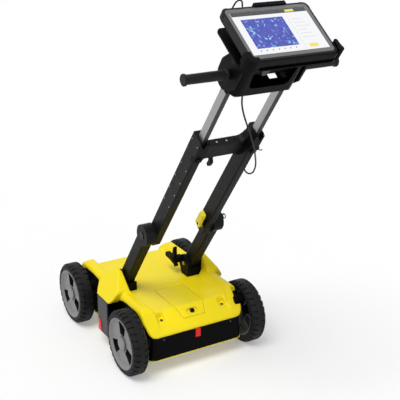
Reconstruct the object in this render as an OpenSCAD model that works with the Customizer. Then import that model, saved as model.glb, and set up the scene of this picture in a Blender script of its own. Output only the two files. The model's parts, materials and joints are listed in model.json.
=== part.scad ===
// Ground penetrating radar cart: four wheels, moulded body, folding telescopic handle and tilting tablet console.
// Millimetres. +X right, +Y ahead of the user, +Z up from the ground.

/* [Wheels] */
// Outside diameter of the tyres
tyre_d = 225; // [215:1:235]
// Width of the tyres
tyre_w = 54; // [46:1:58]
// Distance between the front and rear axles
wheelbase = 434; // [425:1:450]
// Width over the outer faces of the wheels
track = 512; // [506:1:530]
// Diameter of the rims at the lip
rim_d = 178; // [172:1:184]
// Shoulder blocks on each side of a tyre
lug_count = 30; // [20:2:36]
// Depth of the grooves between the shoulder blocks
lug_depth = 4; // [2:0.5:6]
// Width of the three slots in a rim
slot_w = 54; // [44:1:56]
// Diameter of the hub cap
hub_cap_d = 50; // [46:1:54]
// Diameter of the stub axles
axle_d = 12; // [10:1:14]
// Outside diameter of the wheel bearings
bearing_d = 28; // [26:1:32]

/* [Body] */
// Length of the body over its rear and front edges
body_l = 582; // [570:1:596]
// Gap between the body and the tyres
wheel_gap = 12; // [9:1:16]
// Height of the body's lower edge at its rear and front
edge_z = 138; // [132:1:142]
// Height of the recessed deck
deck_z = 204; // [202:1:210]
// Thickness of the deck
deck_t = 6; // [5:0.5:8]
// Height of the side rails above the deck
rail_h = 24; // [16:1:28]
// Width of each side rail beside the recessed deck
rail_w = 52; // [50:1:56]
// Height of the housing's floor above the ground
floor_z = 56; // [52:1:60]
// Thickness of the skid plate
skid_t = 5; // [3:0.5:8]
// Wall of the lower housing
wall = 4; // [3:0.5:5]
// How far the shoulder pods stand out from the body
pod_out = 40; // [36:1:44]
// Width of the shoulder pods within the body
pod_t = 34; // [32:1:36]
// Height of the shoulder pods
pod_z = 288; // [282:1:292]

/* [Hatch] */
// Width of the battery hatch
hatch_w = 112; // [100:1:120]
// Gap around the hatch
hatch_gap = 0.8; // [0.5:0.1:1.5]

/* [Handle] */
// Lean of the handle from upright, in degrees
arm_lean = 36.4; // [33:0.1:38]
// Distance from the foot pivot to the elbow
lower_l = 270; // [262:1:280]
// Width of the lower arms
arm_w = 37; // [35:1:38]
// Depth of the lower arms
arm_t = 48; // [44:1:52]
// Diameter of the elbow drums
elbow_d = 74; // [70:1:78]
// Distance from the elbow to the top of the sleeves
sleeve_l = 501; // [490:1:515]
// Width of the sleeves
sleeve_w = 29; // [27:0.5:30]
// Depth of the sleeves
sleeve_t = 54; // [48:1:56]
// Width of the telescopic tubes
tube_w = 17; // [15:0.5:19]
// Depth of the telescopic tubes
tube_t = 28; // [24:1:30]
// Length of tube that stands out of the sleeves
tube_out = 251; // [245:1:262]
// Outside diameter of the handlebar
bar_d = 22; // [20:0.5:25]
// Width over the ends of the grips
grip_span = 496; // [480:2:504]
// Diameter of the grips
grip_d = 28; // [26:0.5:32]

/* [Console] */
// Width of the tablet
tablet_w = 270; // [262:1:274]
// Height of the tablet
tablet_h = 185; // [178:1:188]
// Thickness of the tablet
tablet_t = 20; // [17:0.5:22]
// Width of the display
display_w = 238; // [220:1:244]
// Height of the display
display_h = 148; // [136:1:152]
// Distance from the tablet's face back to the console plate
plate_back = 58; // [56:1:62]

/* [Cables] */
// Diameter of the lead to the sleeve
lead_d = 5; // [4.2:0.2:6]
// Diameter of the short lead on the tablet
tail_d = 4.4; // [4:0.2:5]

/* [Hidden] */
$fn = 64;
// Slack between pieces that slide or turn past each other
clear = 0.3;
// Radial clearance of pins and bearings in their bores
run = 0.05;

// Wheel positions
axle_z = tyre_d / 2;
wheel_x = (track - tyre_w) / 2;
rim_r = rim_d / 2;
seat_r = rim_r - 3.5;
barrel_t = 4;
web_x = 12;
web_t = 7;
hub_r = hub_cap_d / 2 + 1;
hub_in = -20;
hub_out = web_x + web_t + 2;
bearing_w = 8;
axle_in = 26;
nut_w = 6;

// Body widths, heights and lengths, measured from the midpoint between the axles
body_w = track - 2 * (tyre_w + wheel_gap);
deck_w = body_w - 2 * rail_w;
pod_span = body_w + 2 * pod_out;
pod_in = body_w / 2 - pod_t;
body_y = body_l / 2;
rail_z = deck_z + rail_h;
seam_z = deck_z - deck_t;
crease_y = body_y - 61;
slope_y = body_y - 21;
slope_z = deck_z - 32;
rail_end_y = body_y - 65;
pod_y = -16;
pod_half = 46;
pod_low = seam_z - 12;
housing_w = body_w - 8;
panel_x = pod_span / 2 - 6;

// Hatch
hatch_front = -87.5;
hatch_rear = -(body_y - 25);
hatch_chamfer = 16;
hatch_pin_r = 2;
hatch_axis_z = deck_z - deck_t / 2;
slope_angle = atan2(deck_z - slope_z, slope_y - crease_y);
hatch_reach = norm([hatch_rear - hatch_front, hatch_axis_z - deck_z + (-hatch_rear - crease_y) * tan(slope_angle)]);
hatch_t = deck_t + 2;
latch_y = -(body_y - 40);
latch_z = deck_z - (-latch_y - crease_y) * tan(slope_angle);

// Handle frame: X across, Y forward and up, Z along the arm from the foot pivot
pivot_y = pod_y;
pivot_z = deck_z + 44;
foot_gap = 9;
arm_out = pod_in - foot_gap;
arm_in = arm_out - arm_w;
frame_in = 2 * (arm_in - sleeve_w);
arm_x = arm_in + arm_w / 2;
sleeve_x = frame_in / 2 + sleeve_w / 2 - clear / 2;
sleeve_n = -2;
sleeve_top = lower_l + sleeve_l;
tube_x = frame_in / 2 + 3 + tube_w / 2;
tube_n = -6;
tube_top = sleeve_top + tube_out;
tube_bottom = sleeve_top - 190;
bar_z = tube_top + 8 + bar_d / 2;
pin_r = 8;
elbow_low = lower_l - elbow_d / 2 - 1;
notch_d = 22;
elbow_pin_r = 10;
cheek_r = 33;
cheek_t = 12;
foot_plate_t = 32;
knob_y = 24;
knob_z = 12;
brace_top = sleeve_top - 57;
brace_h = 55;
brace_n = [-2, 25];
brace_hole_r = 3;
brace_hole_x = frame_in / 2 - 34;
collar_t = 3;
collar_h = 84;

// Console
plate_x = frame_in / 2 + 3 + tube_w;
plate_t = 8;
boss_t = 8;
tilt_z = bar_z + 45;
tilt_r = 9;
yoke_w = 60;
tablet_n = 4;
tablet_z = tilt_z + 92.6;
console_z = tablet_z - plate_back;
console_t = 6;
cradle_t = 8;
bumper = 2;
cradle_gap = bumper + clear;
lip = 6;
holder_h = 4;
cradle_low = tablet_n - tablet_h / 2 - cradle_gap;
chin_low = bar_z - 51;
chin_top = tilt_z + 18;
chin_n = [-48, 28];
chin_wall = 4;
socket_low = bar_z - 58;
socket_top = bar_z - 22;
button_d = 7;
button_pitch = 13;
button_count = 3;
button_dip = 2;
button_press = 1;

// The lead's route from the console's grommet to the sleeve's gland: shares of the way across and up, and depth
grommet_at = [-40, -16, chin_low - 8];
gland_at = [arm_in + 6, -2, sleeve_top - 145];
gland_l = 16;
lead_steps = [[0, -16, 1], [0, -16, 0.97], [0.013, -19, 0.92], [0.06, -26, 0.84], [0.165, -35, 0.74], [0.31, -42, 0.63],
    [0.474, -47, 0.51], [0.635, -50, 0.39], [0.776, -51, 0.28], [0.89, -50, 0.18], [0.987, -48, 0.095], [1.058, -46, 0.017],
    [1.096, -44, -0.05], [1.109, -41, -0.095], [1.096, -35, -0.13], [1.064, -27, -0.14], [1.026, -18, -0.126],
    [1.006, -10, -0.095], [1, -4, -0.056], [1, -2, -0.028], [1, -2, 0]];
lead_route = [for (s = lead_steps) [grommet_at[0] + (gland_at[0] - grommet_at[0]) * s[0], s[1],
    gland_at[2] + (grommet_at[2] - gland_at[2]) * s[2]]];
// The short lead's route from the console plate over the tablet's top edge to its socket
tail_x = -86;
tail_top = tablet_n + tablet_h / 2;
tail_end = [-62, tail_top + 3, tablet_z - tablet_t / 2];
tail_route = [for (s = [[0, -6.5, -61], [0, 0.5, -61], [-1, 7, -57], [-2, 10.5, -46], [-2, 12, -30], [-1, 13, -13],
    [1.5, 14, 1], [6, 14.5, 9], [12, 14, 11.5], [18, 12.5, 9], [22, 10.5, 1], [23.7, 8, -6], [24, 5.5, -9.7], [24, 3, -10]])
    [tail_x + s[0], tail_top + s[1], tablet_z + s[2]]];

// The frame's origin is under the middle of the whole cart
rear_y = pivot_y - (tablet_z + holder_h) * sin(arm_lean) + (cradle_low - lip) * cos(arm_lean);
front_y = wheelbase / 2 + tyre_d / 2;
cart_y = -(rear_y + front_y) / 2;

yellow = "#f2d21b";
black = "#1d1e20";
dark = "#2b2c2f";
grey = "#6c6e70";

// Points of an outline whose corners are rounded, one radius for each corner
function unit(v) = v / norm(v);
function corner(a, b, c, r, steps) =
    let (u = unit(a - b), v = unit(c - b), half = acos(u * v) / 2)
    let (centre = b + unit(u + v) * r / sin(half), from = b + u * r / tan(half), to = b + v * r / tan(half))
    let (a0 = atan2(from[1] - centre[1], from[0] - centre[0]), a1 = atan2(to[1] - centre[1], to[0] - centre[0]))
    let (turn = (a1 - a0 + 540) % 360 - 180)
    [for (i = [0:steps]) centre + r * [cos(a0 + turn * i / steps), sin(a0 + turn * i / steps)]];
function rounded(p, r, steps = 5) =
    let (n = len(p))
    [for (i = [0:n - 1]) each corner(p[(i + n - 1) % n], p[i], p[(i + 1) % n], r[i], steps)];
function flip(p) = [for (i = [len(p) - 1:-1:0]) [-p[i][0], p[i][1]]];

// A round tube of the given diameter along a route, as one closed polyhedron
function along(p, i) = unit(p[min(i + 1, len(p) - 1)] - p[max(i - 1, 0)]);
function side_of(t) = unit(cross(t, abs(t[1]) < 0.9 ? [0, 1, 0] : [1, 0, 0]));
module sweep(route, d, sides) {
    n = len(route);
    rings = [for (i = [0:n - 1])
        let (t = along(route, i), u = side_of(t), v = cross(t, u))
        for (k = [0:sides - 1])
            route[i] + d / 2 * (u * cos(360 * k / sides) + v * sin(360 * k / sides))];
    walls = [for (i = [0:n - 2]) for (k = [0:sides - 1])
        let (a = i * sides + k, b = i * sides + (k + 1) % sides)
        each [[a, a + sides, b + sides], [a, b + sides, b]]];
    first = [for (k = [1:sides - 2]) [0, k, k + 1]];
    last = [for (k = [1:sides - 2]) [(n - 1) * sides, (n - 1) * sides + k + 1, (n - 1) * sides + k]];
    polyhedron(points = rings, faces = concat(walls, first, last));
}

// Placing and extruding
module cart() { translate([0, cart_y, 0]) children(); }
module on_arm() { cart() translate([0, pivot_y, pivot_z]) rotate([arm_lean, 0, 0]) children(); }
module both() {
    children();
    mirror([1, 0, 0]) children();
}
module along_x(x0, x1) { translate([x0, 0, 0]) rotate([90, 0, 90]) linear_extrude(x1 - x0) children(); }
module along_y(y0, y1) { translate([0, y1, 0]) rotate([90, 0, 0]) linear_extrude(y1 - y0) children(); }
module rod_x(r, x0, x1) { translate([x0, 0, 0]) rotate([0, 90, 0]) cylinder(r = r, h = x1 - x0); }
module round_box(w, h, r) {
    square([w - 2 * r, h], center = true);
    square([w, h - 2 * r], center = true);
    for (x = [-1, 1]) for (y = [-1, 1]) translate([x * (w / 2 - r), y * (h / 2 - r)]) circle(r);
}

// Outlines of the body, in Y and Z
function below_seam(y) = [[-y, edge_z], [-(crease_y + 32), edge_z + 27], [-(crease_y + 10), seam_z - 10],
    [-(crease_y - 30), seam_z], [crease_y - 30, seam_z], [crease_y + 10, seam_z - 10],
    [crease_y + 32, edge_z + 27], [y, edge_z]];
function top_line() = [[body_y, edge_z + 6], [body_y - 7, edge_z + 20], [body_y - 26, rail_z - 43],
    [body_y - 45, rail_z - 15], [rail_end_y, rail_z], [-rail_end_y, rail_z], [-(body_y - 45), rail_z - 15],
    [-(body_y - 26), rail_z - 43], [-(body_y - 7), edge_z + 20], [-body_y, edge_z + 6]];
function arch_line() = [[body_y - 6, edge_z], [body_y - 29, seam_z - 26], [body_y - 55, seam_z - 3], [body_y - 86, seam_z + 8],
    [body_y - 150, seam_z + 9], [body_y - 192, seam_z + 5], [body_y - 216, seam_z - 8], [body_y - 216, edge_z]];
function deck_line() = [[-(body_y + 8), slope_z - 34], [-slope_y, slope_z], [-crease_y, deck_z],
    [crease_y, deck_z], [slope_y, slope_z], [body_y + 8, slope_z - 34]];
function body_plan(w, y, corner_r) = rounded([[w / 2 - 14, -y], [w / 2, -(y - 40)], [w / 2, y - 40],
    [w / 2 - 14, y], [14 - w / 2, y], [-w / 2, y - 40], [-w / 2, 40 - y], [14 - w / 2, -y]],
    [corner_r, 60, 60, corner_r, corner_r, 60, 60, corner_r]);

// Section of the rails across the body, in X and Z
module rail_section() {
    w = body_w / 2;
    polygon([[-w, 0], [w, 0], [w, rail_z - 15], [w - 5, rail_z - 7], [w - 14, rail_z], [14 - w, rail_z],
        [5 - w, rail_z - 7], [-w, rail_z - 15]]);
}
module trough_section() {
    w = deck_w / 2;
    top = rail_z + 40;
    out = w + 14 + 40 * 14 / rail_h;
    polygon([[-w, 0], [w, 0], [w, deck_z], [out, top], [-out, top], [-w, deck_z]]);
}
module trough_top() {
    along_x(-body_w, body_w) polygon(concat(deck_line(), [[body_y + 8, 2 * rail_z], [-body_y - 8, 2 * rail_z]]));
}
// Wheel arches: the part of the body's sides that the cover leaves open
module arches(x0, x1) {
    both() for (end = [0, 1]) mirror([0, end, 0]) along_x(x0, x1) polygon(rounded(arch_line(), [4, 14, 20, 24, 40, 14, 10, 4]));
}
module trough() {
    intersection() {
        trough_top();
        along_y(-2 * body_y, 2 * body_y) trough_section();
    }
}

// A shoulder pod beside the handle's foot, cut from its front view and its side view
module pod_front() {
    x = pod_span / 2;
    crest = [[pod_in + 4, pod_z], [pod_in + 13, pod_z], [x - 2, pod_low + 8]];
    polygon([[pod_in, seam_z], [pod_in, pod_z - 6], crest[0], each corner(crest[0], crest[1], crest[2], 6, 5), crest[2],
        [x, pod_low + 4], [x - 4, pod_low], [housing_w / 2, pod_low], [housing_w / 2, seam_z]]);
}
module pod_side() {
    y = pod_half;
    polygon(rounded([[pod_y - y - 6, pod_low + 1], [pod_y + y - 6, pod_low + 1], [pod_y + y + 24, pod_low + 40],
        [pod_y + y - 2, pod_z - 24], [pod_y + 8, pod_z], [pod_y - 18, pod_z - 4], [pod_y - y - 32, rail_z + 4],
        [pod_y - y - 22, pod_low + 18]], [8, 12, 14, 14, 12, 12, 14, 10]));
}
module pod() {
    intersection() {
        along_y(pod_y - 3 * pod_half, pod_y + 3 * pod_half) pod_front();
        along_x(0, pod_span) pod_side();
    }
}

// Screw wells cut level into the rear slope, each with a boss round it
well_x = deck_w / 2 - 20;
well_w = 26;
well_wall = 4;
well_y = [-(crease_y + 32), -(crease_y + 4)];
well_z = deck_z + (deck_z - slope_z) * (well_y[0] + crease_y) / (slope_y - crease_y);
module wells(grow, top) {
    for (x = [-1, 1]) translate([x * well_x - well_w / 2 - grow, well_y[0] - grow, well_z - grow])
        cube([well_w + 2 * grow, well_y[1] - well_y[0] + 2 * grow, top - well_z + grow]);
}

// The cover and the hatch before they are parted
module cover_block() {
    difference() {
        union() {
            intersection() {
                along_x(-body_w, body_w) polygon(concat(below_seam(body_y), top_line()));
                along_y(-body_y, body_y) rail_section();
                linear_extrude(2 * rail_z) polygon(body_plan(body_w, body_y, 26));
            }
            wells(well_wall, deck_z);
        }
        trough();
        arches(housing_w / 2 - 18, body_w);
        wells(0, rail_z + 10);
        for (x = [-1, 1])
            translate([x * (pod_in - 33 - clear), pod_y, deck_z + 50]) cube([66, 2 * cheek_r + 6, 100], center = true);
    }
}
module hatch_plan(gap) {
    w = hatch_w / 2 + gap;
    polygon([[-w, hatch_front], [-w, hatch_rear + 45], [-w + hatch_chamfer, hatch_rear - gap],
        [w - hatch_chamfer, hatch_rear - gap], [w, hatch_rear + 45], [w, hatch_front]]);
}
module hatch_space(gap) {
    intersection() {
        linear_extrude(2 * rail_z) hatch_plan(gap);
        at_hatch_axis() rod_x(hatch_reach + gap, -hatch_w, hatch_w);
    }
}
module at_hatch_axis() { translate([0, hatch_front, hatch_axis_z]) children(); }
module at_latch() { translate([0, latch_y, latch_z]) rotate([slope_angle, 0, 0]) children(); }
encoder_dy = 30;
encoder_dz = 65;
encoder_at = [0, -(wheelbase / 2 + encoder_dy), axle_z + encoder_dz];
encoder_r = 22;
encoder_in = housing_w / 2 - 24;
roller_r = seat_r - barrel_t - norm([encoder_dy, encoder_dz]) - clear;
module encoder_notch(low) {
    translate([encoder_in + 4, encoder_at[1] - encoder_r - 1, low]) cube([body_w, 2 * encoder_r + 2, 2 * rail_z]);
}

module top_cover() {
    color(yellow) cart() difference() {
        union() {
            cover_block();
            both() pod();
        }
        hatch_space(hatch_gap);
        at_hatch_axis() rod_x(deck_t / 2 + hatch_gap, -hatch_w / 2 - hatch_gap, hatch_w / 2 + hatch_gap);
        at_hatch_axis() rod_x(hatch_pin_r, -hatch_w / 2 - 8, hatch_w / 2 + 8);
        translate(encoder_at) rod_x(encoder_r + 1, encoder_in - 1, body_w);
        encoder_notch(0);
    }
}

module hatch() {
    color(yellow) cart() difference() {
        union() {
            intersection() {
                cover_block();
                hatch_space(0);
                union() {
                    translate([0, 0, -hatch_t]) trough_top();
                    at_latch() translate([-26, -12, -hatch_t - 4]) cube([52, 24, 30]);
                }
            }
            at_hatch_axis() rod_x(deck_t / 2, -hatch_w / 2, hatch_w / 2);
        }
        for (x = [-1, 1])
            at_hatch_axis() translate([x * hatch_w / 2, 0, 0]) rod_x(hatch_pin_r + run, -9, 9);
        at_latch() translate([0, 0, -4]) {
            for (x = [-12, 12]) translate([x, 0, 0]) cylinder(r = 9, h = 20);
            translate([-12, -9, 0]) cube([24, 18, 20]);
        }
        at_latch() translate([0, 0, -20]) cylinder(r = 4 + run, h = 30);
    }
}

module hatch_latch() {
    color(black) cart() at_latch() {
        translate([0, 0, -4 + clear]) cylinder(r = 7.5, h = 5);
        translate([-7, -2, 0]) cube([14, 4, 4]);
        translate([0, 0, -10]) cylinder(r = 4, h = 8);
    }
}

module hatch_pins() {
    color("silver") cart() for (x = [-1, 1])
        at_hatch_axis() translate([x * hatch_w / 2, 0, 0]) rod_x(hatch_pin_r, -8, 8);
}

module lower_housing() {
    color(black) cart() difference() {
        union() {
            intersection() {
                along_x(-body_w, body_w)
                    polygon(concat([[body_y - 2, floor_z], [-(body_y - 2), floor_z]], below_seam(body_y - 2)));
                linear_extrude(2 * rail_z) polygon(body_plan(housing_w, body_y - 2, 24));
            }
            intersection() {
                arches(housing_w / 2 - 18, housing_w / 2);
                linear_extrude(2 * rail_z) polygon(body_plan(housing_w, body_y - 2, 24));
            }
            both() translate([0, pod_y - pod_half + 8, floor_z])
                cube([panel_x, 2 * pod_half - 16, pod_low - floor_z]);
        }
        intersection() {
            translate([0, 0, floor_z + 5]) linear_extrude(2 * rail_z)
                polygon(body_plan(housing_w - 2 * wall, body_y - 2 - wall, 20));
            along_x(-body_w, body_w) polygon(concat([[body_y, 0], [-body_y, 0]], below_seam(body_y + 10)));
        }
        for (y = [-1, 1]) translate([0, y * wheelbase / 2, axle_z]) rod_x(axle_d / 2, -body_w, body_w);
        translate(encoder_at) rod_x(encoder_r, 0, body_w);
        encoder_notch(encoder_at[2]);
    }
}

module skid_plate() {
    color(yellow) cart() intersection() {
        along_x(-body_w, body_w) polygon([[-body_y, floor_z], [-body_y, floor_z - 2],
            [-(body_y - 24), floor_z - skid_t], [body_y - 24, floor_z - skid_t], [body_y, floor_z - 2],
            [body_y, floor_z]]);
        linear_extrude(rail_z) polygon(body_plan(housing_w + 4, body_y, 26));
    }
}

module side_panels() {
    color(grey) cart() both() translate([panel_x, 0, 0]) difference() {
        along_x(0, 5) polygon(rounded([[pod_y - pod_half + 8, floor_z - skid_t], [pod_y + pod_half - 8, floor_z - skid_t],
            [pod_y + pod_half - 8, pod_low], [pod_y - pod_half + 8, pod_low]], [6, 6, 1, 1]));
        along_x(3, 8) side_marker();
    }
}
module side_marker() {
    polygon([[pod_y + 8, floor_z], [pod_y + 34, floor_z], [pod_y + 26, floor_z + 44], [pod_y + 16, floor_z + 44]]);
}

module markers() {
    color("#d8141c") cart() {
        both() along_x(panel_x + 3, panel_x + 8) side_marker();
        for (y = [-1, 1]) translate([-9, y * (body_y - 0.5) - 1.5, edge_z - 32]) cube([18, 3, 31]);
    }
}

module cover_screws() {
    color("silver") cart() {
        for (x = [-1, 1]) translate([x * well_x, well_y[0] + 12, well_z]) cylinder(r = 5, h = 3);
        for (x = [-1, 1]) for (y = [-1, 1]) translate([x * (housing_w / 2 - 56), y * (body_y - 2), edge_z - 10])
            rotate([-90 * y, 0, 0]) cylinder(r = 3, h = 1.4);
    }
}

module antenna_unit() {
    color(dark) cart() translate([0, 0, floor_z + 5]) {
        linear_extrude(58) round_box(housing_w - 52, body_l - 182, 20);
        translate([0, 0, 58]) linear_extrude(12) round_box(housing_w - 92, body_l - 222, 16);
    }
}
antenna_top = floor_z + 75;

module control_unit() {
    color("silver") cart() translate([0, 100, antenna_top]) {
        linear_extrude(40) round_box(housing_w - 172, 150, 8);
        for (i = [-4:4]) translate([i * (housing_w - 192) / 9 - 2, -70, 40]) cube([4, 140, 6]);
    }
}

module battery_pack() {
    color(black) cart() translate([0, (hatch_front + hatch_rear) / 2 + 14, antenna_top]) {
        linear_extrude(48) round_box(92, 132, 6);
        translate([-30, -8, 48]) cube([60, 16, 4]);
    }
}

// Wheels: axis along X, outer face towards +X
module at_wheel(side, end) {
    cart() translate([side * wheel_x, end * wheelbase / 2, axle_z]) mirror([side < 0 ? 1 : 0, 0, 0]) children();
}
module spun() { rotate([0, 90, 0]) rotate_extrude($fn = 96) rotate([0, 0, 90]) mirror([0, 1, 0]) children(); }

module rim_lip(over) {
    w = tyre_w / 2;
    polygon([[w - 4, seat_r - over], [w - 4, seat_r], [w - 3, rim_r], [w + over, rim_r], [w + over, seat_r - over]]);
}
lug_gap = 6;
lug_slant = 14;
module lug_groove(w, r) {
    translate([w, 0, 0]) rotate([0, 0, lug_slant]) along_y(-lug_gap / 2, lug_gap / 2)
        polygon([[-19, r - lug_depth], [-9, r - lug_depth], [3, r - 19], [3, r + 2], [-19, r + 2]]);
}
module tyre() {
    w = tyre_w / 2;
    r = tyre_d / 2;
    color(dark) difference() {
        spun() polygon(rounded([[-w + 2, seat_r], [w - 2, seat_r], [w, seat_r + 8], [w, r - 9], [w - 8, r], [8 - w, r],
            [-w, r - 9], [-w, seat_r + 8]], [1, 1, 3, 5, 5, 5, 5, 3]));
        spun() rim_lip(3);
        for (side = [0, 1]) mirror([side, 0, 0]) for (i = [0:lug_count - 1])
            rotate([(i + side / 2) * 360 / lug_count, 0, 0]) lug_groove(w, r);
    }
}

// Outline of one rim slot, in the plane of the rim
module slot_outline(grow) {
    in = slot_w / 4 + 2 + grow;
    out = slot_w / 2 + grow;
    low = hub_r + 4 - grow;
    intersection() {
        circle(seat_r - 9 + grow);
        polygon(rounded([[-in, low], [in, low], [out, seat_r], [-out, seat_r]], [6, 6, 1, 1]));
    }
}
module in_slots() {
    for (a = [0, 120, 240]) rotate([a, 0, 0]) rotate([90, 0, 90]) children();
}
module rim() {
    w = tyre_w / 2;
    color(grey) difference() {
        union() {
            spun() polygon([[hub_in, hub_r - 4], [hub_in, hub_r], [web_x, hub_r], [web_x, seat_r - barrel_t],
                [-w + 4, seat_r - barrel_t], [-w + 4, seat_r], [w - 4, seat_r], [w - 3, rim_r], [w + 0.5, rim_r],
                [w + 1, rim_r - 3], [web_x + web_t + 2, seat_r - barrel_t - 2], [web_x + web_t, seat_r - 12],
                [web_x + web_t, hub_r], [hub_out, hub_r], [hub_out, hub_r - 4]]);
            rod_x(hub_r - 2, hub_in, web_x + 2);
            in_slots() translate([0, 0, -4]) linear_extrude(web_x + 5) slot_outline(3);
        }
        in_slots() translate([0, 0, -10]) linear_extrude(60) slot_outline(0);
        rod_x(bearing_d / 2, hub_in - 1, hub_out + 1);
    }
}

module tyre_front_left() { at_wheel(-1, 1) tyre(); }
module tyre_front_right() { at_wheel(1, 1) tyre(); }
module tyre_rear_left() { at_wheel(-1, -1) tyre(); }
module tyre_rear_right() { at_wheel(1, -1) tyre(); }
module rim_front_left() { at_wheel(-1, 1) rim(); }
module rim_front_right() { at_wheel(1, 1) rim(); }
module rim_rear_left() { at_wheel(-1, -1) rim(); }
module rim_rear_right() { at_wheel(1, -1) rim(); }
module every_wheel() { for (side = [-1, 1]) for (end = [-1, 1]) at_wheel(side, end) children(); }

module stub_axles() {
    color("silver") every_wheel() {
        rod_x(axle_d / 2, housing_w / 2 - wall - wheel_x - axle_in, web_x + web_t);
        rod_x(axle_d / 2 + 5, housing_w / 2 - wheel_x, hub_in - 1);
    }
}

module wheel_bearings() {
    color("gainsboro") every_wheel() for (x = [hub_in + 1, web_x - bearing_w + 2]) difference() {
        rod_x(bearing_d / 2 - run, x, x + bearing_w);
        rod_x(axle_d / 2, x - 1, x + bearing_w + 1);
    }
}

module axle_nuts() {
    color("silver") every_wheel() translate([web_x + 2, 0, 0]) rotate([0, 90, 0]) difference() {
        cylinder(r = axle_d / 2 + 4, h = nut_w, $fn = 6);
        translate([0, 0, -1]) cylinder(r = axle_d / 2, h = nut_w + 2);
    }
}

module axle_caps() {
    r = hub_cap_d / 2;
    face = hub_out + clear;
    color(grey) every_wheel() spun() polygon([[web_x + web_t, 0], [web_x + web_t, axle_d / 2], [face, axle_d / 2],
        [face, r], [face + 3, r], [face + 5, r - 3], [face + 5.6, 0]]);
}

module encoder() {
    face = wheel_x - tyre_w / 2 - 2;
    color(black) cart() translate(encoder_at) {
        difference() {
            rod_x(encoder_r, encoder_in, face);
            for (x = [encoder_in + 8:6:face - 5]) difference() {
                rod_x(encoder_r + 1, x, x + 2.5);
                rod_x(encoder_r - 2, x - 1, x + 4);
            }
        }
        rod_x(9, face, face + 5);
        rod_x(4, face + 5, face + 18);
    }
}
module encoder_roller() {
    color(dark) cart() translate(encoder_at) translate([wheel_x - tyre_w / 2 + 4 + clear, 0, 0]) difference() {
        rod_x(roller_r, 0, 10);
        rod_x(4 + run, -1, 11);
    }
}

// Foot of the handle: a seat for the arm's round end, an outer cheek, and on the right an inner cheek with the clamp knob
seat_gap = 2 * clear;
lean_more = 12;
module cheek(x0, x1) {
    along_x(x0, x1) {
        translate([pivot_y, pivot_z]) circle(cheek_r);
        polygon([[pivot_y - cheek_r, pivot_z], [pivot_y - cheek_r + 3, deck_z], [pivot_y + cheek_r - 18, deck_z],
            [pivot_y + cheek_r, pivot_z]]);
    }
}
module foot_seat(toe) {
    y = [pivot_y - cheek_r + 3, pivot_y + cheek_r - 18];
    difference() {
        translate([arm_in - toe, y[0], deck_z]) cube([pod_in - 2 * clear - arm_in + toe, y[1] - y[0], foot_plate_t]);
        translate([0, pivot_y, pivot_z]) rod_x(arm_t / 2 + seat_gap, 0, body_w);
        translate([0, pivot_y, pivot_z]) rotate([arm_lean + lean_more, 0, 0]) translate([0, -arm_t / 2 - seat_gap, 0])
            cube([body_w, arm_t, 2 * cheek_r]);
    }
}
module foot_brackets() {
    color(black) cart() difference() {
        union() {
            foot_seat(clear + cheek_t);
            mirror([1, 0, 0]) foot_seat(4);
            cheek(arm_in - clear - cheek_t, arm_in - clear);
            both() cheek(arm_out + clear, pod_in - 2 * clear);
        }
        translate([0, pivot_y, pivot_z]) rod_x(pin_r, -body_w, body_w);
        translate([0, pivot_y + knob_y, pivot_z + knob_z]) rod_x(5 + run, 0, arm_in);
    }
}
module pivot_pins() {
    color("silver") cart() translate([0, pivot_y, pivot_z]) {
        rod_x(pin_r, arm_in - clear - cheek_t, pod_in - 2 * clear);
        mirror([1, 0, 0]) rod_x(pin_r, arm_in + 1, pod_in - 2 * clear);
    }
}
module foot_knob() {
    face = arm_in - clear - cheek_t;
    color(black) cart() translate([0, pivot_y + knob_y, pivot_z + knob_z]) {
        rod_x(5, face - 6, arm_in - 2 * clear);
        rod_x(15, face - 26, face - clear);
        rod_x(11, face - 34, face - 25);
        rotate([-84, 0, 0]) along_x(face - 33, face - 17)
            polygon(rounded([[-9, 5], [9, 5], [8, 52], [-8, 52]], [1, 1, 3, 3]));
        rotate([8, 0, 0]) along_x(face - 31, face - 18) polygon(rounded([[-10, 5], [10, 5], [2, 52], [-2, 52]], [1, 1, 1.5, 1.5]));
        rotate([142, 0, 0]) along_x(face - 31, face - 18) polygon(rounded([[-9, 5], [9, 5], [4, 27], [-4, 27]], [1, 1, 2, 2]));
    }
}

module lower_arm() {
    difference() {
        union() {
            translate([arm_x, 0, 0]) linear_extrude(lower_l) round_box(arm_w, arm_t, 5);
            rod_x(arm_t / 2, arm_in, arm_out);
            translate([0, 0, lower_l]) rod_x(elbow_d / 2, arm_in, arm_out);
        }
        translate([arm_x, 0, pin_r + 18]) linear_extrude(lower_l - elbow_d / 2 - pin_r - 26)
            round_box(arm_w - 8, arm_t - 8, 3);
        rod_x(pin_r + run, 0, body_w);
        translate([0, 0, lower_l]) rod_x(elbow_pin_r, 0, body_w);
    }
}
ring_at = [arm_out, 2, lower_l + 22];
ring_stem = 3;
module lower_arm_left() { color(dark) on_arm() mirror([1, 0, 0]) lower_arm(); }
module lower_arm_right() {
    color(dark) on_arm() difference() {
        lower_arm();
        translate(ring_at) rod_x(ring_stem + run, -13, 1);
    }
}

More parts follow.
